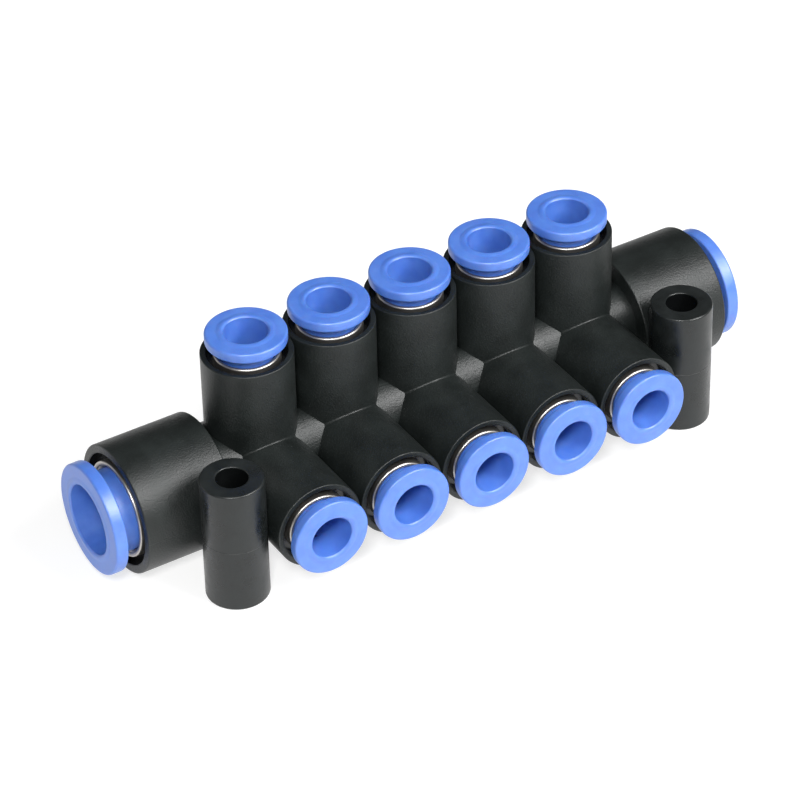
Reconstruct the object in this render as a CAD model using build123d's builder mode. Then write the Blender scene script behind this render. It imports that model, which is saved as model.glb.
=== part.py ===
from build123d import *
import os

# Pneumatic manifold fitting: one moulded body with five upright and five front push-in ports for
# 6 mm tube, a larger push-in port for 10 mm tube at each end, and two mounting bosses in front.
# All sizes are in millimetres. The origin lies half-way between the two mounting holes, on the
# face that is screwed down. X runs along the body, -Y out of the front ports, Z up.

# Layout of the main bore and the row of small barrels
station_count = 5
barrel_gap = 0.15           # between neighbouring small barrels
end_gap = 1.35              # between the last small barrel and the large one
foot_height = 0.4           # large barrels above the mounting face
main_bore_d = 8.0
bar_width = 12.9            # rounded square bar around the main bore
bar_corner_r = 5.3

# Small ports, for 6 mm tube. Stations along a port count from the main bore's axis
small_tube_d = 6.0
small_passage_d = 4.2
small_stop_wall = 0.9       # tube stop beyond the main bore's wall
small_socket_length = 4.05  # tube bore between the stop and the seal
small_seal_length = 2.2
small_ring_length = 5.3
small_ring_wall = 0.37      # guide ring around its chamber
small_recess_width = 0.9    # open groove around the guide ring
small_recess_depth = 1.6
small_rim_width = 0.8       # barrel's wall around the groove
small_flange_reach = 1.8    # flange beyond the button's neck
small_flange_t = 1.6
small_button_gap = 1.7      # flange above the end face, button fully out
small_button_travel = 1.5
small_tooth_count = 8

# Large ports, for 10 mm tube. Stations count from the middle of the body
large_tube_d = 10.0
large_stop_offset = 5.3     # tube stop beyond the last small port's axis
large_socket_length = 4.8
large_seal_length = 3.0
large_ring_length = 6.3
large_ring_wall = 0.62
large_recess_width = 1.1
large_recess_depth = 2.2
large_rim_width = 1.25
large_flange_reach = 2.12
large_flange_t = 2.0
large_button_gap = 2.3
large_button_travel = 2.0
large_tooth_count = 12
right_button_inset = 0.9    # the right end button rests part-way in

# Mounting bosses
boss_offset = 2.7           # centre beyond the inner face of the large barrel
boss_overlap = 0.35         # boss into the side of the large barrel
boss_d = 8.8
boss_height = 19.15
boss_hole_d = 4.4
boss_web_width = 4.0
boss_web_height = 12.6
boss_web_root = 1.2         # the web runs this far into the large barrel's wall

# Release buttons
tube_clearance = 0.05       # radial, tube in the button and in the body
button_wall = 0.78
barb_height = 0.3
barb_slack = 0.2            # axial, barb below the throat, button fully out
button_slot_width = 0.8
button_slot_reach = 0.6     # slots run this far beyond the barb
tip_wall = 0.25
tip_gap = 0.15              # axial, pressed button above the claws
mouth_chamfer = 0.2
bead_width = 0.5
bead_height = 0.12
flange_chamfer = 0.25

# Guide rings, lock claws and seals
neck_clearance = 0.1        # radial, button neck in the throat of the guide ring
barb_clearance = 0.15       # radial, barb in the guide ring
ring_lip_t = 0.4
ring_throat_length = 1.1
claw_t = 0.3
claw_ledge = 0.4            # width of the body's ledge under the claw ring
claw_rim_width = 0.7
claw_bite = 0.1             # claws stand this far inside the tube's surface
claw_slot_width = 0.5
seal_gap = 0.2              # axial, claw tips above the seal
seal_wall_clearance = 0.25  # radial, seal's inner wall off the tube
seal_squeeze = 0.08         # seal lip inside the tube's surface
seal_lip_length = 0.8
seal_groove_depth = 0.7
seat_clearance = 0.02       # radial, pieces seated in the body

# Edges of the body
mouth_edge = 0.2
shoulder_edge = 0.4
boss_edge = 0.3
hole_edge = 0.25


class PortSize:
    """Sizes of one kind of port: radii from its axis, and stations along it."""

    def __init__(self, tube_d, passage_d, tube_stop, socket_length, seal_length, ring_length,
                 ring_wall, recess_width, recess_depth, rim_width, flange_reach, flange_t,
                 gap, travel, tooth_count):
        # Radii
        self.tube_r = tube_d / 2
        self.passage_r = passage_d / 2
        self.bore_r = self.tube_r + tube_clearance
        self.neck_r = self.bore_r + button_wall
        self.barb_r = self.neck_r + barb_height
        self.tip_r = self.bore_r + tip_wall
        self.flange_r = self.neck_r + flange_reach
        self.throat_r = self.neck_r + neck_clearance
        self.chamber_r = self.barb_r + barb_clearance
        self.ring_r = self.chamber_r + ring_wall
        self.lip_r = self.ring_r - ring_lip_t
        self.seal_seat_r = self.ring_r - claw_ledge
        self.claw_rim_r = self.ring_r - claw_rim_width
        self.claw_tip_r = self.tube_r - claw_bite
        self.recess_r = self.ring_r + recess_width
        self.body_r = self.recess_r + rim_width
        self.tooth_count = tooth_count
        # Stations along the axis
        self.tube_stop = tube_stop
        self.seal_in = tube_stop + socket_length
        self.seal_out = self.seal_in + seal_length
        self.claw_tip = self.seal_out + seal_gap
        self.claw_seat = self.claw_tip + self.claw_rim_r - self.claw_tip_r
        self.ring_in = self.claw_seat + claw_t
        self.body_end = self.ring_in + ring_length
        self.recess_floor = self.body_end - recess_depth
        self.funnel_end = self.body_end - (self.lip_r - self.throat_r)
        self.throat_end = self.funnel_end - ring_throat_length
        self.flange_in = self.body_end + gap
        self.flange_out = self.flange_in + flange_t
        self.barb_out = self.throat_end - barb_slack
        pressed_tip = self.ring_in - (self.claw_rim_r - self.tip_r) + tip_gap
        self.button_tip = pressed_tip + travel


class Port:
    """One port in its place: a plane through its axis, a plane across it, and the axis."""

    def __init__(self, name, size, station_x, outward, across):
        self.name = name
        self.size = size
        origin = Vector(station_x, axis_setback, axis_height)
        outward = Vector(*outward)
        across = Vector(*across)
        self.section = Plane(origin=origin, x_dir=across, z_dir=across.cross(outward))
        self.face = Plane(origin=origin, x_dir=across, z_dir=outward)
        self.axis = Axis(origin, outward)


small = PortSize(small_tube_d, small_passage_d, main_bore_d / 2 + small_stop_wall,
                 small_socket_length, small_seal_length, small_ring_length, small_ring_wall,
                 small_recess_width, small_recess_depth, small_rim_width, small_flange_reach,
                 small_flange_t, small_button_gap, small_button_travel, small_tooth_count)
station_pitch = 2 * small.body_r + barrel_gap
last_station = station_pitch * (station_count - 1) / 2
large = PortSize(large_tube_d, main_bore_d, last_station + large_stop_offset,
                 large_socket_length, large_seal_length, large_ring_length, large_ring_wall,
                 large_recess_width, large_recess_depth, large_rim_width, large_flange_reach,
                 large_flange_t, large_button_gap, large_button_travel, large_tooth_count)
large_shoulder = last_station + small.body_r + end_gap
axis_setback = large.body_r + boss_d / 2 - boss_overlap
axis_height = large.body_r + foot_height

station_xs = [i * station_pitch - last_station for i in range(station_count)]
upright_ports = [Port(f"upright_{i + 1}", small, x, (0, 0, 1), (1, 0, 0))
                 for i, x in enumerate(station_xs)]
front_ports = [Port(f"front_{i + 1}", small, x, (0, -1, 0), (1, 0, 0))
               for i, x in enumerate(station_xs)]
left_port = Port("left", large, 0, (-1, 0, 0), (0, 1, 0))
right_port = Port("right", large, 0, (1, 0, 0), (0, 1, 0))
small_ports = upright_ports + front_ports
end_ports = [left_port, right_port]
all_ports = small_ports + end_ports


def rims(part, radius):
    """Whole circular edges of the given radius."""
    circles = part.edges().filter_by(GeomType.CIRCLE).filter_by(lambda e: e.is_closed)
    return circles.filter_by(lambda e: abs(e.radius - radius) < 1e-4)


def revolve_profile(port, points, mode=Mode.ADD):
    """Turn a closed profile of (radius, station) points about the port's axis."""
    with BuildSketch(port.section) as profile:
        with BuildLine():
            Polyline(*points, close=True)
        make_face()
    revolve(profile.sketch, axis=port.axis, mode=mode)


def write(builder, name):
    """Label a finished piece and write its file."""
    builder.part.label = name
    export_step(builder.part, f"parts/{name}.step")


os.makedirs("parts", exist_ok=True)

# Body, moulded in one piece: bar, small barrels, end barrels, bosses and their webs
boss_x = large_shoulder + boss_offset
boss_xs = (-boss_x, boss_x)
web_length = axis_setback - large.body_r + boss_web_root
with BuildPart() as body:
    with BuildSketch(Plane(origin=(0, axis_setback, axis_height), z_dir=(1, 0, 0))):
        RectangleRounded(bar_width, bar_width, bar_corner_r)
    extrude(amount=large_shoulder + shoulder_edge, both=True)
    for port in small_ports:
        with BuildSketch(port.face):
            Circle(small.body_r)
        extrude(amount=small.body_end)
    for port in end_ports:
        with BuildSketch(port.face.offset(large_shoulder)):
            Circle(large.body_r)
        extrude(amount=large.body_end - large_shoulder)
    with BuildSketch():
        with Locations(*[(x, 0) for x in boss_xs]):
            Circle(boss_d / 2)
    extrude(amount=boss_height)
    with BuildSketch(Plane.XY.offset(axis_height - boss_web_height / 2)):
        with Locations(*[(x, web_length / 2) for x in boss_xs]):
            Rectangle(boss_web_width, web_length)
    extrude(amount=boss_web_height)

    # Broken edges of the barrels and bosses
    chamfer(rims(body.part, small.body_r), length=mouth_edge)
    large_rims = rims(body.part, large.body_r).sort_by(Axis.X)
    chamfer([large_rims[0], large_rims[-1]], length=mouth_edge)
    shoulder_rims = rims(body.part, large.body_r).sort_by(Axis.X)[1:-1]
    chamfer(shoulder_rims, length=shoulder_edge)
    chamfer(rims(body.part, boss_d / 2), length=boss_edge)

    # Stepped bore of each port: recess, ring and claw seat, seal seat, tube bore and passage
    for port in all_ports:
        size = port.size
        beyond = size.body_end + size.ring_r
        steps = [(size.passage_r, size.tube_stop), (size.bore_r, size.seal_in),
                 (size.seal_seat_r, size.claw_seat), (size.ring_r, size.recess_floor),
                 (size.recess_r, beyond)]
        outline = [(0, beyond), (0, 0)]
        floor = 0
        for radius, end in steps:
            outline += [(radius, floor), (radius, end)]
            floor = end
        revolve_profile(port, outline, Mode.SUBTRACT)

    # Mounting holes, one down through each boss
    with Locations(*[(x, 0, boss_height) for x in boss_xs]):
        Hole(boss_hole_d / 2, depth=boss_height)
    chamfer(rims(body.part, boss_hole_d / 2), length=hole_edge)
write(body, "body")

# Release buttons: a flange with a raised bead, and a sleeve slotted to let its barb snap in
for port in all_ports:
    size = port.size
    inset = right_button_inset if port is right_port else 0
    face = size.flange_out - bead_height
    mouth_r = size.bore_r + mouth_chamfer
    bead_r = mouth_r + bead_width
    outline = [(size.bore_r, size.button_tip), (size.tip_r, size.button_tip),
               (size.barb_r, size.barb_out), (size.neck_r, size.barb_out),
               (size.neck_r, size.flange_in), (size.flange_r, size.flange_in),
               (size.flange_r, face - flange_chamfer), (size.flange_r - flange_chamfer, face),
               (bead_r + bead_height, face), (bead_r, size.flange_out),
               (mouth_r, size.flange_out), (size.bore_r, size.flange_out - mouth_chamfer)]
    slot_length = size.barb_out + button_slot_reach - size.button_tip
    with BuildPart() as button:
        revolve_profile(port, [(radius, station - inset) for radius, station in outline])
        with BuildSketch(port.face.offset(size.button_tip - inset)):
            with PolarLocations(0, 2, angular_range=180):
                Rectangle(3 * size.barb_r, button_slot_width)
        extrude(amount=slot_length, mode=Mode.SUBTRACT)
    write(button, f"release_button_{port.name}")

# Guide rings: metal collars with a funnel mouth, a throat, and a chamber that holds the barb
for port in all_ports:
    size = port.size
    outer_r = size.ring_r - seat_clearance
    with BuildPart() as ring:
        revolve_profile(port, [(outer_r, size.ring_in), (outer_r, size.body_end),
                               (size.lip_r, size.body_end), (size.throat_r, size.funnel_end),
                               (size.throat_r, size.throat_end),
                               (size.chamber_r, size.throat_end),
                               (size.chamber_r, size.ring_in)])
    write(ring, f"guide_ring_{port.name}")

# Lock claws: spring steel rings whose teeth slant inward and grip the tube
slant_t = claw_t * 2 ** 0.5
for port in all_ports:
    size = port.size
    outer_r = size.ring_r - seat_clearance
    tooth_top = size.claw_tip + claw_t
    with BuildPart() as claw:
        revolve_profile(port, [(outer_r, size.claw_seat), (outer_r, size.ring_in),
                               (size.claw_rim_r, size.ring_in), (size.claw_tip_r, tooth_top),
                               (size.claw_tip_r, tooth_top - slant_t),
                               (size.claw_rim_r + claw_t - slant_t, size.claw_seat)])
        with BuildSketch(port.face.offset(tooth_top - slant_t)):
            with PolarLocations(size.claw_tip_r, size.tooth_count):
                Rectangle(2 * (size.claw_rim_r - size.claw_tip_r), claw_slot_width)
        extrude(amount=size.ring_in - tooth_top + slant_t, mode=Mode.SUBTRACT)
    write(claw, f"lock_claw_{port.name}")

# Seals: rubber rings with a lip on the tube and a groove towards the pressure
for port in all_ports:
    size = port.size
    outer_r = size.seal_seat_r - seat_clearance
    inner_r = size.tube_r + seal_wall_clearance
    lip_r = size.tube_r - seal_squeeze
    groove_r = (outer_r + inner_r) / 2
    groove_half = (outer_r - inner_r) / 5
    with BuildPart() as seal:
        revolve_profile(port, [(outer_r, size.seal_in), (outer_r, size.seal_out),
                               (inner_r, size.seal_out),
                               (lip_r, size.seal_out - seal_lip_length / 2),
                               (inner_r, size.seal_out - seal_lip_length),
                               (inner_r, size.seal_in), (groove_r - groove_half, size.seal_in),
                               (groove_r, size.seal_in + seal_groove_depth),
                               (groove_r + groove_half, size.seal_in)])
    write(seal, f"seal_{port.name}")
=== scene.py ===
"""Pneumatic manifold fitting: the looks of its moulded body, its ports and the studio around them.

Sizes are in millimetres in the classes below and become metres where a mesh is made. The frame is that of
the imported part: X along the body, -Y out of the front ports, Z up from the mounting face. A port is
modelled upright, its stations counted from the main bore's axis, and is then turned to where it opens.
"""

import logging
import math
from collections.abc import Callable, Iterator, Sequence
from contextlib import contextmanager
from dataclasses import dataclass
from enum import Enum

import bmesh
import bpy
from bpy.types import Material, Node, NodeSocket, NodeTree, Object
from mathutils import Euler, Matrix, Vector

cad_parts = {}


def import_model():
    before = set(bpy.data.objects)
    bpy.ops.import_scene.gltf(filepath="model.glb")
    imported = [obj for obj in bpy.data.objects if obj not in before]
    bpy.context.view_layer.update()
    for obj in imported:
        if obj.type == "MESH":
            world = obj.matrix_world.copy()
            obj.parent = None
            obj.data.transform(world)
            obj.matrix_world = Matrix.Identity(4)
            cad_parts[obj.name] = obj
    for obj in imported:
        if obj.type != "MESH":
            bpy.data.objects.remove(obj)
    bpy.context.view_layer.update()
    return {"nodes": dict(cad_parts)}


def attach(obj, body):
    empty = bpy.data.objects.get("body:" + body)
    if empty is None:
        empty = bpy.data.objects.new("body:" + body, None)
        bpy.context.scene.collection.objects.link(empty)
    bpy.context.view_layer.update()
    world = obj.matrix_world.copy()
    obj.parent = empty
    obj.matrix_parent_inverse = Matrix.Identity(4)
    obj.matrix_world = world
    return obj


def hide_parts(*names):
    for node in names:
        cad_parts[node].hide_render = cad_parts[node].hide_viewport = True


log = logging.getLogger("manifold_fitting")

MM = 0.001
PAST = 1.0                      # stock and tools reach this far past what they join or cut
TOUCH = 2e-6                    # points nearer than this, in metres, are one
CREASE = math.radians(35.0)     # a sharper turn between two faces stays an edge
SQUARE = 0.99                   # a face is square to an axis from this share of its normal on
AXIS_SETBACK = 13.3             # main bore behind the row of mounting holes
AXIS_HEIGHT = 9.65              # main bore above the mounting face

Path2D = Sequence[tuple[float, float]]


class Way(Enum):
    """The way a port opens, as the turn that brings an upright port there."""

    UP = (0.0, 0.0, 0.0)
    FRONT = (math.pi / 2, 0.0, 0.0)
    LEFT = (0.0, -math.pi / 2, 0.0)
    RIGHT = (0.0, math.pi / 2, 0.0)


class Cut(Enum):
    """How one solid acts on another."""

    JOIN = "UNION"
    TAKE_AWAY = "DIFFERENCE"


@dataclass(frozen=True)
class Port:
    """One port in its place on the body, with how far its button stands in."""

    name: str
    way: Way
    station: float = 0.0
    inset: float = 0.0


@dataclass(frozen=True)
class PortSize:
    """Radii of one kind of port from its axis, and stations along it from the main bore's axis."""

    flange_r: float
    bead_r: float
    mouth_r: float
    bore_r: float
    neck_r: float
    barb_r: float
    tip_r: float
    passage_r: float
    body_r: float
    recess_r: float
    ring_r: float
    throat_r: float
    chamber_r: float
    seal_seat_r: float
    flange_out: float
    flange_in: float
    barb_out: float
    button_tip: float
    body_end: float
    recess_floor: float
    throat_end: float
    ring_in: float
    claw_seat: float
    seal_in: float
    tube_stop: float
    core: float                 # station the bore is cut down to, inside the main bore
    sides: int


SMALL = PortSize(flange_r=5.63, bead_r=3.75, mouth_r=3.25, bore_r=3.05, neck_r=3.83, barb_r=4.13,
                 tip_r=3.30, passage_r=2.1, body_r=6.35, recess_r=5.55, ring_r=4.65, throat_r=3.93,
                 chamber_r=4.28, seal_seat_r=4.25, flange_out=21.3, flange_in=19.7, barb_out=16.38,
                 button_tip=13.7, body_end=18.0, recess_floor=16.4, throat_end=16.58, ring_in=12.7,
                 claw_seat=12.4, seal_in=8.95, tube_stop=4.9, core=3.0, sides=96)
LARGE = PortSize(flange_r=7.95, bead_r=5.75, mouth_r=5.25, bore_r=5.05, neck_r=5.83, barb_r=6.13,
                 tip_r=5.30, passage_r=4.0, body_r=9.25, recess_r=8.0, ring_r=6.9, throat_r=5.93,
                 chamber_r=6.28, seal_seat_r=6.5, flange_out=51.2, flange_in=49.2, barb_out=45.03,
                 button_tip=41.85, body_end=46.9, recess_floor=44.7, throat_end=45.23, ring_in=40.6,
                 claw_seat=40.3, seal_in=35.8, tube_stop=31.0, core=30.0, sides=128)

PITCH = 12.85
STATIONS = tuple(PITCH * step for step in range(-2, 3))
SMALL_PORTS = tuple(Port(f"{row}_{number}", way, station)
                    for row, way in (("upright", Way.UP), ("front", Way.FRONT))
                    for number, station in enumerate(STATIONS, start=1))
END_PORTS = (Port("left", Way.LEFT), Port("right", Way.RIGHT, inset=0.9))


def pick(piece: Object) -> None:
    """Make a piece the only selected object and the active one.

    Args:
        piece: The object to pick.
    """
    bpy.ops.object.select_all(action="DESELECT")
    piece.select_set(True)
    bpy.context.view_layer.objects.active = piece


@contextmanager
def editing(piece: Object) -> Iterator[None]:
    """Open a piece in edit mode with nothing selected, and close it again.

    Args:
        piece: The mesh object to edit.
    """
    pick(piece)
    bpy.ops.object.mode_set(mode="EDIT")
    bpy.ops.mesh.select_all(action="DESELECT")
    yield
    bpy.ops.object.mode_set(mode="OBJECT")


def select_faces(piece: Object, wanted: Callable[[bmesh.types.BMFace], bool]) -> None:
    """Select the faces of the piece being edited that pass a test, and no others.

    Args:
        piece: The mesh object in edit mode.
        wanted: Says by its place or normal whether a face is selected.
    """
    bpy.ops.mesh.select_mode(type="FACE")
    bpy.ops.mesh.select_all(action="DESELECT")
    mesh = bmesh.from_edit_mesh(piece.data)
    for face in mesh.faces:
        if wanted(face):
            face.select_set(True)
    bmesh.update_edit_mesh(piece.data)


def select_edges(piece: Object, wanted: Callable[[Vector], bool]) -> None:
    """Select the edges of the piece being edited with both ends where a test says, and no others.

    Args:
        piece: The mesh object in edit mode.
        wanted: Says by its place whether an end counts.
    """
    bpy.ops.mesh.select_mode(type="EDGE")
    bpy.ops.mesh.select_all(action="DESELECT")
    mesh = bmesh.from_edit_mesh(piece.data)
    for edge in mesh.edges:
        if all(wanted(end.co) for end in edge.verts):
            edge.select_set(True)
    bmesh.update_edit_mesh(piece.data)


def carry_cap(piece: Object, up: bool, start: tuple[float, float], path: Path2D) -> None:
    """Carry an end cap of a round solid along a path, one extrusion and one resize at a time.

    Args:
        piece: The mesh object in edit mode, round about Z.
        up: Whether it is the top cap.
        start: The cap's radius and station.
        path: The radii and stations it goes to.
    """
    radius, station = start
    facing = 1.0 if up else -1.0
    select_faces(piece, lambda face: face.normal.z * facing > SQUARE
                 and abs(face.calc_center_median().z - station * MM) < TOUCH)
    for next_radius, next_station in path:
        rise = (0.0, 0.0, (next_station - station) * MM)
        bpy.ops.mesh.extrude_region_move(TRANSFORM_OT_translate={"value": rise})
        ratio = next_radius / radius
        if ratio != 1.0:
            bpy.ops.transform.resize(value=(ratio, ratio, 1.0),
                                     center_override=(0.0, 0.0, next_station * MM))
        radius, station = next_radius, next_station


@dataclass(frozen=True)
class Rim:
    """A round edge to be broken, and the size of the round that breaks it."""

    radius: float
    station: float
    size: float
    segments: int = 3


@dataclass(frozen=True)
class Turning:
    """A round solid: its outer wall, the paths its two caps take from there, and its broken edges.

    Where open_at is given both paths end on that station, and the bore runs through.
    """

    radius: float
    low: float
    high: float
    top: Path2D = ()
    bottom: Path2D = ()
    open_at: float | None = None
    rims: Sequence[Rim] = ()
    sides: int = 96

    def make(self, name: str) -> Object:
        """Model the solid upright on the Z axis.

        Args:
            name: The object's name.

        Returns:
            The new mesh object, its place in its mesh.
        """
        bpy.ops.mesh.primitive_cylinder_add(
            vertices=self.sides, radius=self.radius * MM, depth=(self.high - self.low) * MM,
            location=(0.0, 0.0, (self.high + self.low) / 2 * MM))
        piece = bpy.context.object
        piece.name = piece.data.name = name
        bpy.ops.object.transform_apply(location=True, rotation=True, scale=True)
        with editing(piece):
            carry_cap(piece, True, (self.radius, self.high), self.top)
            carry_cap(piece, False, (self.radius, self.low), self.bottom)
            if self.open_at is not None:
                select_faces(piece, lambda face: len(face.verts) == self.sides
                             and abs(face.calc_center_median().z - self.open_at * MM) < TOUCH)
                bpy.ops.mesh.delete(type="FACE")
            bpy.ops.mesh.select_all(action="SELECT")
            bpy.ops.mesh.remove_doubles(threshold=TOUCH)
            bpy.ops.mesh.normals_make_consistent(inside=False)
            for rim in self.rims:
                select_edges(piece, lambda end: abs(end.z - rim.station * MM) < TOUCH
                             and abs(end.xy.length - rim.radius * MM) < TOUCH)
                bpy.ops.mesh.bevel(offset=rim.size * MM, segments=rim.segments, affect="EDGES")
        return piece


def place(piece: Object, way: Way, station: float, inset: float = 0.0) -> Object:
    """Turn a piece that was modelled as an upright port to a port's way, and move it there.

    Args:
        piece: The piece, about the Z axis.
        way: The way the port opens.
        station: The port's place along the body, in millimetres.
        inset: How far the piece stands in, in millimetres.

    Returns:
        The same piece, its place in its mesh.
    """
    piece.rotation_euler = way.value
    outward = piece.rotation_euler.to_matrix() @ Vector((0.0, 0.0, 1.0))
    piece.location = (Vector((station, AXIS_SETBACK, AXIS_HEIGHT)) - inset * outward) * MM
    pick(piece)
    bpy.ops.object.transform_apply(location=True, rotation=True, scale=True)
    return piece


def copy_of(pattern: Object, name: str) -> Object:
    """Copy a modelled piece with a mesh of its own.

    Args:
        pattern: The piece to copy.
        name: The copy's name.

    Returns:
        The copy.
    """
    pick(pattern)
    bpy.ops.object.duplicate(linked=False)
    piece = bpy.context.object
    piece.name = piece.data.name = name
    return piece


def drop(piece: Object) -> None:
    """Delete a pattern or tool that has done its work."""
    pick(piece)
    bpy.ops.object.delete()


def join(pieces: Sequence[Object], name: str) -> Object:
    """Gather meshes in one object.

    Args:
        pieces: The meshes.
        name: The name of what they become.

    Returns:
        The one object.
    """
    pick(pieces[0])
    for piece in pieces[1:]:
        piece.select_set(True)
    bpy.ops.object.join()
    whole = bpy.context.object
    whole.name = whole.data.name = name
    return whole


def combine(piece: Object, tool: Object, cut: Cut) -> None:
    """Join a tool to a piece, or take it away from it, and delete the tool.

    Args:
        piece: The piece that stays.
        tool: The closed solid that acts on it.
        cut: How it acts.
    """
    pick(piece)
    bpy.ops.object.modifier_add(type="BOOLEAN")
    modifier = piece.modifiers[-1]
    modifier.operation = cut.value
    modifier.solver = "EXACT"
    modifier.object = tool
    bpy.ops.object.modifier_apply(modifier=modifier.name)
    drop(tool)


def close_shell(piece: Object) -> None:
    """Merge what touches, point the faces outwards, and shade round faces round and flat ones flat.

    Args:
        piece: The finished mesh.
    """
    with editing(piece):
        bpy.ops.mesh.select_all(action="SELECT")
        bpy.ops.mesh.remove_doubles(threshold=TOUCH)
        bpy.ops.mesh.dissolve_degenerate(threshold=TOUCH)
        bpy.ops.mesh.normals_make_consistent(inside=False)
    pick(piece)
    bpy.ops.object.shade_smooth_by_angle(angle=CREASE)
    bpy.ops.object.modifier_add(type="WEIGHTED_NORMAL")
    piece.modifiers[-1].keep_sharp = True
    bpy.ops.object.modifier_apply(modifier=piece.modifiers[-1].name)


def to_linear(colour: str) -> tuple[float, float, float, float]:
    """Turn an sRGB hex colour to linear light.

    Args:
        colour: The colour as #rrggbb.

    Returns:
        Red, green, blue and an alpha of one.
    """
    parts = [int(colour[at:at + 2], 16) / 255 for at in (1, 3, 5)]
    red, green, blue = (part / 12.92 if part <= 0.04045 else ((part + 0.055) / 1.055) ** 2.4
                        for part in parts)
    return red, green, blue, 1.0


def add_node(tree: NodeTree, kind: str, settings: dict[str, object] | None = None,
             values: dict[str | int, object] | None = None,
             links: dict[str | int, NodeSocket] | None = None) -> Node:
    """Add a node with its settings, its sockets' values and what feeds them.

    Args:
        tree: The node tree.
        kind: The node's type.
        settings: Values for the node's own properties.
        values: Constants for its input sockets, by socket name or number.
        links: Output sockets that feed its input sockets, by socket name or number.

    Returns:
        The node.
    """
    node = tree.nodes.new(kind)
    for name, value in (settings or {}).items():
        setattr(node, name, value)
    for name, value in (values or {}).items():
        node.inputs[name].default_value = value
    for name, output in (links or {}).items():
        tree.links.new(output, node.inputs[name])
    return node


def new_material(name: str) -> tuple[Material, NodeTree]:
    """Start an empty node material.

    Args:
        name: The material's name.

    Returns:
        The material and its node tree.
    """
    material = bpy.data.materials.new(name)
    material.use_nodes = True
    material.node_tree.nodes.clear()
    return material, material.node_tree


@dataclass(frozen=True)
class MouldedPolymer:
    """A moulded polymer: cloudy in colour, with the fine grain that its mould gave it."""

    name: str
    colour: str
    cloud_colour: str
    roughness: tuple[float, float]      # from the smooth to the dull clouds
    ior: float
    grain: float                        # width of the mould's grain, mm
    grain_depth: float                  # mm
    cloud: float                        # width of the clouds that flow leaves, mm
    seam_height: float | None = None    # height of the mould's parting line, mm
    seam_depth: float = 0.03            # how far the parting line stands up, mm
    seam_width: float = 0.14
    glow: float = 0.0                   # share of light that goes in and comes out beside
    glow_reach: float = 0.8             # mm
    shine: float = 0.5                  # how much the skin mirrors, a half for a bare polymer
    fleck: float = 0.0                  # share of the cloud colour on the grain's tops

    def make(self) -> Material:
        """Build the material's nodes.

        Returns:
            The material.
        """
        material, tree = new_material(self.name)
        place_on = add_node(tree, "ShaderNodeTexCoord")
        grain = add_node(tree, "ShaderNodeTexNoise",
                         values={"Scale": 1 / (self.grain * MM), "Detail": 3.0, "Roughness": 0.6},
                         links={"Vector": place_on.outputs["Object"]})
        cloud = add_node(tree, "ShaderNodeTexNoise",
                         values={"Scale": 1 / (self.cloud * MM), "Detail": 4.0, "Roughness": 0.55},
                         links={"Vector": place_on.outputs["Object"]})
        clouds = add_node(tree, "ShaderNodeMapRange",
                          values={"From Min": 0.35, "From Max": 0.65, "To Min": 0.0, "To Max": 0.7},
                          links={"Value": cloud.outputs["Fac"]})
        flecks = add_node(tree, "ShaderNodeMapRange",
                          values={"From Min": 0.55, "From Max": 0.75, "To Min": 0.0,
                                  "To Max": self.fleck},
                          links={"Value": grain.outputs["Fac"]})
        share = add_node(tree, "ShaderNodeMath", settings={"operation": "ADD", "use_clamp": True},
                         links={0: clouds.outputs["Result"], 1: flecks.outputs["Result"]})
        colour = add_node(tree, "ShaderNodeMix", settings={"data_type": "RGBA"},
                          values={6: to_linear(self.colour), 7: to_linear(self.cloud_colour)},
                          links={0: share.outputs["Value"]})
        smooth, dull = self.roughness
        roughness = add_node(tree, "ShaderNodeMapRange",
                             values={"From Min": 0.35, "From Max": 0.65, "To Min": smooth,
                                     "To Max": dull},
                             links={"Value": cloud.outputs["Fac"]})
        relief = add_node(tree, "ShaderNodeBump",
                          values={"Strength": 1.0, "Distance": self.grain_depth * MM},
                          links={"Height": grain.outputs["Fac"]})
        if self.seam_height is not None:
            relief = self.add_seam(tree, place_on, relief)
        shader = add_node(tree, "ShaderNodeBsdfPrincipled",
                          values={"IOR": self.ior, "Specular IOR Level": self.shine,
                                  "Subsurface Weight": self.glow,
                                  "Subsurface Scale": self.glow_reach * MM},
                          links={"Base Color": colour.outputs[2],
                                 "Roughness": roughness.outputs["Result"],
                                 "Normal": relief.outputs["Normal"]})
        add_node(tree, "ShaderNodeOutputMaterial", links={"Surface": shader.outputs["BSDF"]})
        return material

    def add_seam(self, tree: NodeTree, place_on: Node, relief: Node) -> Node:
        """Raise the fine line that the mould's two halves leave at one height.

        Args:
            tree: The material's node tree.
            place_on: The node that gives the place on the piece.
            relief: The bump that the line is added to.

        Returns:
            The bump with the line on it.
        """
        along = add_node(tree, "ShaderNodeSeparateXYZ",
                         links={"Vector": place_on.outputs["Object"]})
        above = add_node(tree, "ShaderNodeMath", settings={"operation": "SUBTRACT"},
                         values={1: self.seam_height * MM}, links={0: along.outputs["Z"]})
        away = add_node(tree, "ShaderNodeMath", settings={"operation": "ABSOLUTE"},
                        links={0: above.outputs["Value"]})
        line = add_node(tree, "ShaderNodeMapRange", settings={"interpolation_type": "SMOOTHSTEP"},
                        values={"From Min": 0.0, "From Max": self.seam_width / 2 * MM,
                                "To Min": 1.0, "To Max": 0.0},
                        links={"Value": away.outputs["Value"]})
        return add_node(tree, "ShaderNodeBump",
                        values={"Strength": 1.0, "Distance": self.seam_depth * MM},
                        links={"Height": line.outputs["Result"],
                               "Normal": relief.outputs["Normal"]})


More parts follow.
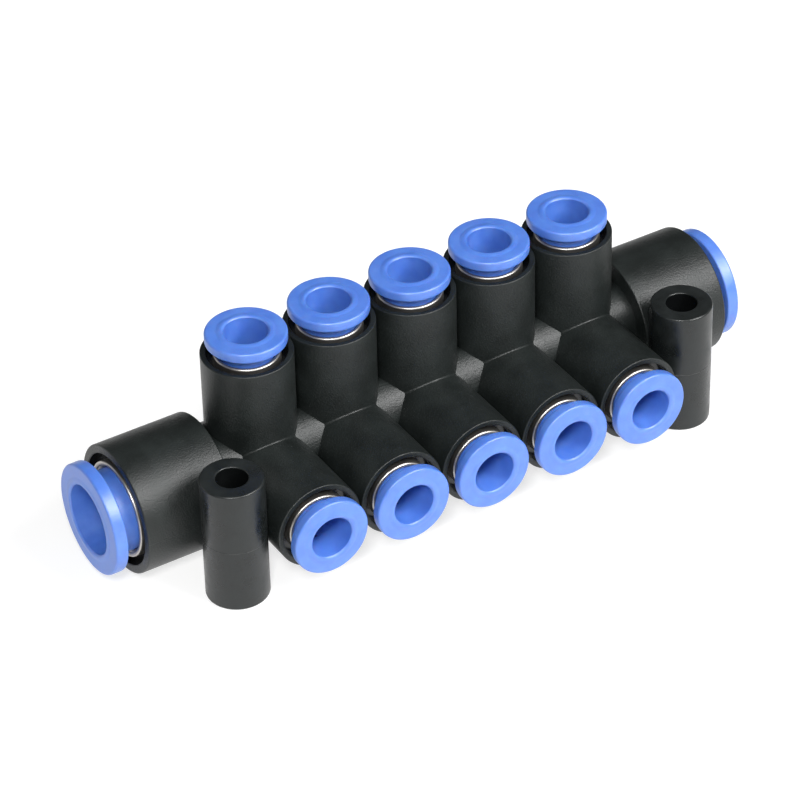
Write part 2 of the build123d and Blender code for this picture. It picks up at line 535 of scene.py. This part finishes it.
@dataclass(frozen=True)
class WorkedMetal:
    """A metal: evenly coloured, its gloss and surface broken by the marks of how it was worked."""

    name: str
    colour: str
    stain: str
    roughness: tuple[float, float]
    mark: float                 # width of the marks, mm
    mark_depth: float           # mm

    def make(self) -> Material:
        """Build the material's nodes.

        Returns:
            The material.
        """
        material, tree = new_material(self.name)
        place_on = add_node(tree, "ShaderNodeTexCoord")
        marks = add_node(tree, "ShaderNodeTexNoise",
                         values={"Scale": 1 / (self.mark * MM), "Detail": 3.0, "Roughness": 0.6},
                         links={"Vector": place_on.outputs["Object"]})
        smooth, dull = self.roughness
        roughness = add_node(tree, "ShaderNodeMapRange",
                             values={"From Min": 0.3, "From Max": 0.7, "To Min": smooth,
                                     "To Max": dull},
                             links={"Value": marks.outputs["Fac"]})
        colour = add_node(tree, "ShaderNodeMix", settings={"data_type": "RGBA"},
                          values={6: to_linear(self.colour), 7: to_linear(self.stain)},
                          links={0: marks.outputs["Fac"]})
        relief = add_node(tree, "ShaderNodeBump",
                          values={"Strength": 1.0, "Distance": self.mark_depth * MM},
                          links={"Height": marks.outputs["Fac"]})
        shader = add_node(tree, "ShaderNodeBsdfPrincipled", values={"Metallic": 1.0},
                          links={"Base Color": colour.outputs[2],
                                 "Roughness": roughness.outputs["Result"],
                                 "Normal": relief.outputs["Normal"]})
        add_node(tree, "ShaderNodeOutputMaterial", links={"Surface": shader.outputs["BSDF"]})
        return material


# Black PBT, injection moulded in a spark-eroded mould: near black, with a wide soft sheen that a fine
# grain breaks up. The real grain is 0.05 to 0.1 mm wide and is drawn coarser so that it shows.
GRAINED_PBT = MouldedPolymer("black_pbt_grained", "#141817", "#1f2423", (0.4, 0.46), 1.5,
                             grain=0.25, grain_depth=0.055, cloud=4.0, seam_height=AXIS_HEIGHT,
                             fleck=0.5)
# The same PBT against polished steel, on the bosses: smoother, with clear highlights on its edges.
POLISHED_PBT = MouldedPolymer("black_pbt_polished", "#151818", "#202424", (0.24, 0.46), 1.5,
                              grain=0.9, grain_depth=0.02, cloud=3.0, seam_height=AXIS_HEIGHT,
                              seam_depth=0.04)
# The same PBT in the ports' grooves and the mounting holes, glossy and blacker: painted shade, its darker
# colour
# # standing in for the shade in these recesses, while its gloss mirrors the dark further in.
RECESS_SHADE_PBT = MouldedPolymer("black_pbt_painted_recess_shade", "#0b0c0d", "#111313", (0.14, 0.2), 1.5,
                           grain=0.9, grain_depth=0.002, cloud=3.0)
# Blue POM, injection moulded and unpainted: an even satin blue that lets light through, so that thin
# edges are lighter and the bore a deep blue, under a skin that the mould left with a soft sheen.
BLUE_POM = MouldedPolymer("blue_pom", "#4973ca", "#5883d5", (0.36, 0.46), 1.5,
                          grain=0.7, grain_depth=0.012, cloud=2.0, glow=0.25, shine=1.0)
# Nickel-plated brass, turned: bright and slightly warm, with a fine waviness from the tool.
PLATED_BRASS = WorkedMetal("nickel_plated_brass", "#cbc7c1", "#b7b3ad", (0.37, 0.43), 1.5, 0.001)
# Stainless spring steel, stamped: greyer and duller than the plated collar.
SPRING_STEEL = WorkedMetal("stainless_spring_steel", "#b5b4b1", "#8f8e8c", (0.25, 0.45), 0.3, 0.002)
# Black NBR rubber, moulded: matt and dark, with a faint bloom.
NBR_RUBBER = MouldedPolymer("black_nbr_rubber", "#121212", "#232323", (0.55, 0.75), 1.52,
                            grain=0.2, grain_depth=0.006, cloud=1.5)


def in_mouth(spot: Vector, port: Port, size: PortSize) -> bool:
    """Say whether a spot on the body lies in the open groove at a port's mouth.

    Args:
        spot: The spot, in metres.
        port: The port.
        size: Its sizes.

    Returns:
        Whether the spot is no deeper than the groove and no further from the port's axis.
    """
    outward = Euler(port.way.value).to_matrix() @ Vector((0.0, 0.0, 1.0))
    away = spot - Vector((port.station, AXIS_SETBACK, AXIS_HEIGHT)) * MM
    along = away.dot(outward)
    return (along > size.recess_floor * MM - TOUCH
            and (away - along * outward).length < size.recess_r * MM + TOUCH)


@dataclass
class Body:
    """The one-piece moulded body: bar, small and large barrels, mounting bosses and their webs."""

    bar_width: float = 12.9
    bar_corner: float = 5.3
    bar_half: float = 33.8          # half its length, into the large barrels
    shoulder: float = 33.4          # inner face of the large barrel
    shoulder_round: float = 0.25
    mouth_round: float = 0.16
    large_mouth_round: float = 0.26
    mouth_flare: float = 0.12       # broken inner edge of the open groove
    mitre_round: float = 0.25       # fillet between an upright and a front barrel
    mitre_reach: float = 0.92       # share of the barrel's radius that the fillet spans
    mitre_back: float = 4.2         # the barrels' hidden far corner is cut off here
    boss_x: float = 36.1
    boss_r: float = 4.4
    boss_height: float = 19.15
    boss_hole_r: float = 2.2
    boss_round: float = 0.3
    hole_round: float = 0.2
    web_width: float = 4.0
    web_height: float = 12.6
    web_from: float = 3.0
    web_to: float = 5.25
    bore_overlap: float = 0.5       # main bore into the large ports

    def bar(self) -> Object:
        """Model the rounded square bar around the main bore.

        Returns:
            The bar.
        """
        bpy.ops.mesh.primitive_cube_add(
            size=MM, location=(0.0, AXIS_SETBACK * MM, AXIS_HEIGHT * MM),
            scale=(2 * self.bar_half, self.bar_width, self.bar_width))
        bar = bpy.context.object
        bar.name = bar.data.name = "body_moulding"
        bpy.ops.object.transform_apply(location=True, rotation=True, scale=True)
        with editing(bar):
            bpy.ops.mesh.select_mode(type="EDGE")
            mesh = bmesh.from_edit_mesh(bar.data)
            for edge in mesh.edges:
                one, other = (end.co for end in edge.verts)
                edge.select_set((one - other).yz.length < TOUCH)
            bmesh.update_edit_mesh(bar.data)
            bpy.ops.mesh.bevel(offset=self.bar_corner * MM, segments=16, affect="EDGES")
        return bar

    def barrel_pair(self) -> Object:
        """Model one station's upright and front barrel, mitred where they meet, about the main axis.

        Returns:
            The pair as one closed solid.
        """
        barrel = Turning(SMALL.body_r, -SMALL.body_r - PAST, SMALL.body_end, sides=SMALL.sides,
                         rims=[Rim(SMALL.body_r, SMALL.body_end, self.mouth_round)])
        upright, front = barrel.make("upright_barrel"), barrel.make("front_barrel")
        front.rotation_euler = Way.FRONT.value
        pick(front)
        bpy.ops.object.transform_apply(location=True, rotation=True, scale=True)
        for piece, behind in ((upright, True), (front, False)):
            with editing(piece):
                bpy.ops.mesh.select_all(action="SELECT")
                bpy.ops.mesh.bisect(plane_co=(0.0, 0.0, 0.0), plane_no=(0.0, 1.0, 1.0),
                                    clear_inner=behind, clear_outer=not behind)
        pair = join([upright, front], "barrel_pair")
        reach = self.mitre_reach * SMALL.body_r * MM
        back = self.mitre_back * MM
        with editing(pair):
            bpy.ops.mesh.select_all(action="SELECT")
            bpy.ops.mesh.remove_doubles(threshold=TOUCH)
            bpy.ops.mesh.bisect(plane_co=(0.0, back, -back), plane_no=(0.0, 1.0, -1.0),
                                use_fill=True, clear_outer=True)
            bpy.ops.mesh.select_all(action="SELECT")
            bpy.ops.mesh.normals_make_consistent(inside=False)
            select_edges(pair, lambda end: abs(end.y + end.z) < TOUCH and end.z > 0
                         and abs(end.x) < reach)
            bpy.ops.mesh.bevel(offset=self.mitre_round * MM, segments=3, affect="EDGES")
        return pair

    def small_barrels(self) -> Object:
        """Copy the pair of barrels to every station.

        Returns:
            All small barrels in one object.
        """
        pair = self.barrel_pair()
        rows = [place(copy_of(pair, f"barrels_{number}"), Way.UP, station)
                for number, station in enumerate(STATIONS, start=1)]
        drop(pair)
        return join(rows, "small_barrels")

    def end_barrels(self) -> Object:
        """Model the large barrel and place it at both ends.

        Returns:
            Both barrels in one object.
        """
        barrel = Turning(LARGE.body_r, self.shoulder, LARGE.body_end, sides=LARGE.sides,
                         rims=[Rim(LARGE.body_r, LARGE.body_end, self.large_mouth_round),
                               Rim(LARGE.body_r, self.shoulder, self.shoulder_round)])
        return join([place(barrel.make(f"{port.name}_barrel"), port.way, 0.0)
                     for port in END_PORTS], "end_barrels")

    def bosses(self) -> Object:
        """Model the mounting boss with its hole and stand one in front of each large barrel.

        Returns:
            Both bosses in one object.
        """
        hole = self.boss_hole_r
        boss = Turning(self.boss_r, 0.0, self.boss_height,
                       top=[(hole, self.boss_height), (hole, 0.0)], bottom=[(hole, 0.0)],
                       open_at=0.0, sides=72,
                       rims=[Rim(self.boss_r, self.boss_height, self.boss_round),
                             Rim(self.boss_r, 0.0, self.boss_round),
                             Rim(hole, self.boss_height, self.hole_round),
                             Rim(hole, 0.0, self.hole_round)])
        pair = []
        for side in (-1, 1):
            piece = boss.make(f"boss_{side}")
            piece.location.x = side * self.boss_x * MM
            pick(piece)
            bpy.ops.object.transform_apply(location=True, rotation=True, scale=True)
            pair.append(piece)
        return join(pair, "bosses")

    def webs(self) -> Object:
        """Model the web between each boss and its large barrel.

        Returns:
            Both webs in one object.
        """
        pair = []
        for side in (-1, 1):
            middle = (side * self.boss_x, (self.web_from + self.web_to) / 2, AXIS_HEIGHT)
            bpy.ops.mesh.primitive_cube_add(
                size=MM, location=Vector(middle) * MM,
                scale=(self.web_width, self.web_to - self.web_from, self.web_height))
            bpy.ops.object.transform_apply(location=True, rotation=True, scale=True)
            pair.append(bpy.context.object)
        return join(pair, "webs")

    def bore(self, size: PortSize, name: str) -> Object:
        """Model the space of one stepped port, from its flared mouth to the main bore.

        Args:
            size: The port's sizes.
            name: The object's name.

        Returns:
            The space as a solid.
        """
        flare = self.mouth_flare
        return Turning(size.recess_r, size.recess_floor, size.body_end - flare,
                       top=[(size.recess_r + flare, size.body_end),
                            (size.recess_r + flare, size.body_end + PAST)],
                       bottom=[(size.ring_r, size.recess_floor), (size.ring_r, size.claw_seat),
                               (size.seal_seat_r, size.claw_seat),
                               (size.seal_seat_r, size.seal_in), (size.bore_r, size.seal_in),
                               (size.bore_r, size.tube_stop), (size.passage_r, size.tube_stop),
                               (size.passage_r, size.core)],
                       sides=size.sides).make(name)

    def bores(self) -> Object:
        """Place the space of every port.

        Returns:
            All spaces in one object.
        """
        small = self.bore(SMALL, "small_bore")
        spaces = [place(copy_of(small, f"{port.name}_bore"), port.way, port.station)
                  for port in SMALL_PORTS]
        drop(small)
        spaces += [place(self.bore(LARGE, f"{port.name}_bore"), port.way, 0.0)
                   for port in END_PORTS]
        return join(spaces, "bores")

    def build(self) -> Object:
        """Join the body's solids and cut its bores.

        Returns:
            The body, closed and shaded.
        """
        body = self.bar()
        for tool in (self.small_barrels(), self.end_barrels(), self.bosses(), self.webs()):
            combine(body, tool, Cut.JOIN)
        combine(body, self.bores(), Cut.TAKE_AWAY)
        reach = LARGE.core + self.bore_overlap
        main_bore = Turning(LARGE.passage_r, -reach, reach, sides=LARGE.sides).make("main_bore")
        combine(body, place(main_bore, Way.RIGHT, 0.0), Cut.TAKE_AWAY)
        close_shell(body)
        return body

    def in_boss(self, spot: Vector, radius: float) -> bool:
        """Say whether a spot lies within a radius, in millimetres, of a boss's axis."""
        return math.hypot(abs(spot.x) - self.boss_x * MM, spot.y) < radius * MM + TOUCH

    def dress(self, body: Object, grained: Material, polished: Material, recess_shade: Material) -> None:
        """Give the bosses the polished finish, grooves and holes the darker painted shade, the rest the
        grain.

        Args:
            body: The body.
            grained: The finish of the barrels and the bar.
            polished: The finish of the bosses.
            recess_shade: The darker material, painted shade for the grooves at the ports' mouths and the
                mounting holes.
        """
        body.data.materials.clear()
        for finish in (grained, polished, recess_shade):
            body.data.materials.append(finish)
        # Slot 2 paints shade: the darker material goes in the grooves and the mounting holes.
        parts = ((1, lambda spot: self.in_boss(spot, self.boss_r)),
                 (2, lambda spot: self.in_boss(spot, self.boss_hole_r)),
                 (2, lambda spot: any(in_mouth(spot, port, SMALL) for port in SMALL_PORTS)),
                 (2, lambda spot: any(in_mouth(spot, port, LARGE) for port in END_PORTS)))
        with editing(body):
            for slot, holds in parts:
                select_faces(body, lambda face: all(holds(corner.co) for corner in face.verts))
                body.active_material_index = slot
                bpy.ops.object.material_slot_assign()
        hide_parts("body")
        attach(body, "manifold")


@dataclass
class ReleaseButton:
    """A port's release button: a rounded flange with a raised bead, and a slotted, barbed sleeve."""

    size: PortSize
    bead_height: float = 0.12
    bead_foot: float = 0.3          # how far the bead's foot spreads past its top
    flange_round: float = 0.32
    under_round: float = 0.25
    bead_round: float = 0.13
    slot_width: float = 0.8
    slot_past_barb: float = 0.15
    slot_span: float = 3.0          # a slot's tool across the sleeve, in radii of the barb

    def pattern(self) -> Object:
        """Model the button upright.

        Returns:
            The button.
        """
        size = self.size
        face = size.flange_out - self.bead_height
        crest_r = size.bead_r - self.bead_round
        foot_r = size.bead_r + self.bead_foot
        chamfer = size.mouth_r - size.bore_r
        button = Turning(
            size.flange_r, size.flange_in, face,
            top=[(foot_r, face), (crest_r, size.flange_out),
                 (size.mouth_r, size.flange_out), (size.bore_r, size.flange_out - chamfer),
                 (size.bore_r, size.button_tip)],
            bottom=[(size.neck_r, size.flange_in), (size.neck_r, size.barb_out),
                    (size.barb_r, size.barb_out), (size.tip_r, size.button_tip),
                    (size.bore_r, size.button_tip)],
            open_at=size.button_tip, sides=size.sides,
            rims=[Rim(size.flange_r, face, self.flange_round, segments=7),
                  Rim(size.flange_r, size.flange_in, self.under_round, segments=4),
                  Rim(foot_r, face, self.bead_round),
                  Rim(crest_r, size.flange_out, self.bead_round),
                  Rim(size.mouth_r, size.flange_out, self.bead_round)]).make("button")
        low = size.button_tip - PAST
        high = size.barb_out + self.slot_past_barb
        span = self.slot_span * size.barb_r
        for across in ((span, self.slot_width), (self.slot_width, span)):
            bpy.ops.mesh.primitive_cube_add(size=MM, location=(0.0, 0.0, (low + high) / 2 * MM),
                                            scale=(*across, high - low))
            slot = bpy.context.object
            bpy.ops.object.transform_apply(location=True, rotation=True, scale=True)
            combine(button, slot, Cut.TAKE_AWAY)
        close_shell(button)
        return button

    def build(self, ports: Sequence[Port], finish: Material) -> list[Object]:
        """Copy the button to each port and dress it.

        Args:
            ports: The ports that have this button.
            finish: Its material.

        Returns:
            The buttons.
        """
        pattern = self.pattern()
        pattern.data.materials.append(finish)
        made = []
        for port in ports:
            piece = place(copy_of(pattern, f"button_{port.name}_moulding"), port.way,
                          port.station, port.inset)
            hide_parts(f"release_button_{port.name}")
            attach(piece, f"button_{port.name}")
            made.append(piece)
        drop(pattern)
        return made


@dataclass
class GuideRing:
    """A port's metal collar: a rolled lip, a funnel, a throat and the chamber behind it."""

    size: PortSize
    seat_clearance: float = 0.02
    lip_width: float = 0.6          # of the rolled lip, round from its outer wall to its inner one
    roll: float = 0.294             # radius of its round, which leaves a narrow flat
    lip_land: float = 0.05          # straight wall below the round

    def pattern(self) -> Object:
        """Model the collar upright.

        Returns:
            The collar.
        """
        size = self.size
        outer_r = size.ring_r - self.seat_clearance
        lip_r = outer_r - self.lip_width
        lip_in = size.body_end - self.roll - self.lip_land
        funnel_in = lip_in - (lip_r - size.throat_r)
        ring = Turning(
            outer_r, size.ring_in, size.body_end,
            top=[(lip_r, size.body_end), (lip_r, lip_in), (size.throat_r, funnel_in),
                 (size.throat_r, size.throat_end), (size.chamber_r, size.throat_end),
                 (size.chamber_r, size.ring_in)],
            bottom=[(size.chamber_r, size.ring_in)], open_at=size.ring_in, sides=size.sides,
            rims=[Rim(outer_r, size.body_end, self.roll, segments=6),
                  Rim(lip_r, size.body_end, self.roll, segments=6)]).make("ring")
        close_shell(ring)
        return ring

    def build(self, ports: Sequence[Port], finish: Material) -> list[Object]:
        """Copy the collar to each port and dress it.

        Args:
            ports: The ports that have this collar.
            finish: Its material.

        Returns:
            The collars.
        """
        pattern = self.pattern()
        pattern.data.materials.append(finish)
        made = []
        for port in ports:
            piece = place(copy_of(pattern, f"guide_ring_{port.name}_turning"), port.way,
                          port.station)
            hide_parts(f"guide_ring_{port.name}")
            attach(piece, "manifold")
            made.append(piece)
        drop(pattern)
        return made


@dataclass
class Gripping:
    """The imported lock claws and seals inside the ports, which keep their own shapes."""

    nodes: dict[str, Object]

    def dress(self, claw: Material, seal: Material) -> list[Object]:
        """Give the claws and seals their finishes.

        Args:
            claw: The finish of the lock claws.
            seal: The finish of the seals.

        Returns:
            The dressed nodes.
        """
        dressed = []
        for port in (*SMALL_PORTS, *END_PORTS):
            for name, finish in ((f"lock_claw_{port.name}", claw), (f"seal_{port.name}", seal)):
                self.nodes[name].material_slots[0].material = finish
                dressed.append(self.nodes[name])
        return dressed


@dataclass(frozen=True)
class SoftBox:
    """A square soft box: where it hangs, how large it is, and how much it lights.

    Its share is the brightness it gives a white card that faces it, where one is paper white.
    """

    name: str
    toward: tuple[float, float, float]
    side: float
    share: float
    away: float = 700.0

    def hang(self) -> Object:
        """Hang the box so that it faces the object.

        Returns:
            The light.
        """
        aim = Vector((0.0, AXIS_SETBACK, AXIS_HEIGHT)) * MM
        direction = Vector(self.toward).normalized()
        bpy.ops.object.light_add(type="AREA", location=aim + direction * self.away * MM,
                                 rotation=direction.to_track_quat("Z", "Y").to_euler())
        light = bpy.context.object
        light.name = light.data.name = self.name
        light.data.shape = "SQUARE"
        light.data.size = self.side * MM
        light.data.energy = self.share * (math.pi * self.away * MM) ** 2
        return light


@dataclass
class Studio:
    """A pale, backlit floor, soft light and the camera at the photograph's angle."""

    floor_size: float = 6000.0
    floor_drop: float = 0.05
    floor_colour: str = "#a8a8a7"
    floor_glow: float = 0.72
    glow_from: float = 170.0        # the backlight fades from this far out
    glow_to: float = 420.0          # to nothing here
    floor_cloud: float = 20.0       # width of the clouds in the sheet's gloss
    card_r: float = 4.0             # dark disc under each mounting hole, put in as painted shade for the hole
    hole_shade_colour: str = "#0b0b0b"
    room_light: float = 0.09
    boxes: tuple[SoftBox, ...] = (
        SoftBox("left_box", (-0.41, -0.58, 0.70), side=130.0, share=0.68),
        SoftBox("right_box", (0.41, -0.60, 0.685), side=360.0, share=1.18),
        SoftBox("front_box", (-0.05, -0.90, 0.43), side=300.0, share=0.1),
        SoftBox("back_box", (-0.6, 0.7, 0.4), side=420.0, share=0.08))
    # Camera, as fitted to the photograph: angles in degrees, the rest in millimetres
    azimuth: float = -30.964
    elevation: float = 36.778
    roll: float = -1.449
    distance: float = 538.724
    slide: tuple[float, float] = (-1.696, -0.768)
    lens: float = 174.165
    sensor: float = 36.0

    def floor(self) -> Object:
        """Lay the floor, a white acrylic sheet lit from below, so that shadows on it stay faint.

        Returns:
            The floor.
        """
        bpy.ops.mesh.primitive_plane_add(size=self.floor_size * MM,
                                         location=(0.0, 0.0, -self.floor_drop * MM))
        floor = bpy.context.object
        floor.name = floor.data.name = "studio_floor"
        bpy.ops.object.transform_apply(location=True, rotation=True, scale=True)
        material, tree = new_material("backlit_white_acrylic")
        place_on = add_node(tree, "ShaderNodeTexCoord")
        cloud = add_node(tree, "ShaderNodeTexNoise", values={"Scale": 1 / (self.floor_cloud * MM)},
                         links={"Vector": place_on.outputs["Object"]})
        roughness = add_node(tree, "ShaderNodeMapRange",
                             values={"To Min": 0.85, "To Max": 0.95},
                             links={"Value": cloud.outputs["Fac"]})
        away = add_node(tree, "ShaderNodeVectorMath", settings={"operation": "LENGTH"},
                        links={0: place_on.outputs["Object"]})
        glow = add_node(tree, "ShaderNodeMapRange", settings={"interpolation_type": "SMOOTHSTEP"},
                        values={"From Min": self.glow_from * MM, "From Max": self.glow_to * MM,
                                "To Min": self.floor_glow, "To Max": 0.0},
                        links={"Value": away.outputs["Value"]})
        shader = add_node(tree, "ShaderNodeBsdfPrincipled",
                          values={"Base Color": to_linear(self.floor_colour),
                                  "Specular IOR Level": 0.1,
                                  "Emission Color": (1.0, 1.0, 1.0, 1.0)},
                          links={"Roughness": roughness.outputs["Result"],
                                 "Emission Strength": glow.outputs["Result"]})
        add_node(tree, "ShaderNodeOutputMaterial", links={"Surface": shader.outputs["BSDF"]})
        floor.data.materials.append(material)
        return floor

    def hole_cards(self) -> list[Object]:
        """Lay a dark disc under each mounting hole: painted shade for the hole, which also keeps the
        floor's glow out of it.

        Returns:
            The discs.
        """
        # The disc's near-black colour puts painted shade where the mounting hole is dark.
        material, tree = new_material("painted_hole_shade")
        shader = add_node(tree, "ShaderNodeBsdfPrincipled",
                          values={"Base Color": to_linear(self.hole_shade_colour), "Roughness": 0.9})
        add_node(tree, "ShaderNodeOutputMaterial", links={"Surface": shader.outputs["BSDF"]})
        cards = []
        for side in (-1, 1):
            bpy.ops.mesh.primitive_circle_add(
                vertices=48, radius=self.card_r * MM, fill_type="NGON",
                location=(side * Body.boss_x * MM, 0.0, -self.floor_drop / 2 * MM))
            card = bpy.context.object
            card.name = card.data.name = f"hole_card_{'left' if side < 0 else 'right'}"
            bpy.ops.object.transform_apply(location=True, rotation=True, scale=True)
            card.data.materials.append(material)
            cards.append(card)
        return cards

    def light(self) -> None:
        """Hang the soft boxes and light the room evenly."""
        for box in self.boxes:
            box.hang()
        world = bpy.data.worlds.new("dim_room")
        world.use_nodes = True
        backdrop = world.node_tree.nodes["Background"]
        backdrop.inputs["Color"].default_value = (1.0, 1.0, 1.0, 1.0)
        backdrop.inputs["Strength"].default_value = self.room_light
        bpy.context.scene.world = world
        bpy.context.scene.view_settings.view_transform = "Standard"

    def camera(self) -> Object:
        """Set the camera up where the photograph was taken from.

        Returns:
            The camera.
        """
        turn, tilt, roll = (math.radians(angle)
                            for angle in (self.azimuth, self.elevation, self.roll))
        back = Vector((math.sin(turn) * math.cos(tilt), -math.cos(turn) * math.cos(tilt),
                       math.sin(tilt)))
        level = Vector((math.cos(turn), math.sin(turn), 0.0))
        upward = back.cross(level)
        right = math.cos(roll) * level + math.sin(roll) * upward
        above = -math.sin(roll) * level + math.cos(roll) * upward
        spot = (Vector((0.0, AXIS_SETBACK, AXIS_HEIGHT)) + back * self.distance
                + right * self.slide[0] + above * self.slide[1])
        facing = Matrix((right, above, back)).transposed()
        bpy.ops.object.camera_add(location=spot * MM, rotation=facing.to_euler())
        camera = bpy.context.object
        camera.name = camera.data.name = "photo_camera"
        camera.data.lens = self.lens
        camera.data.sensor_width = self.sensor
        camera.data.clip_start = 0.01
        camera.data.clip_end = 50.0
        bpy.context.scene.camera = camera
        return camera


def main() -> None:
    """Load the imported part, build and dress its pieces, and set up the studio."""
    logging.basicConfig(level=logging.INFO, format="%(name)s: %(message)s")
    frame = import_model()

    body_parts = Body()
    body = body_parts.build()
    body_parts.dress(body, GRAINED_PBT.make(), POLISHED_PBT.make(), RECESS_SHADE_PBT.make())

    blue, plated = BLUE_POM.make(), PLATED_BRASS.make()
    for size, ports in ((SMALL, SMALL_PORTS), (LARGE, END_PORTS)):
        ReleaseButton(size).build(ports, blue)
        GuideRing(size).build(ports, plated)
    Gripping(frame["nodes"]).dress(SPRING_STEEL.make(), NBR_RUBBER.make())

    studio = Studio()
    studio.floor()
    studio.hole_cards()
    studio.light()
    studio.camera()


if __name__ == "__main__":
    main()
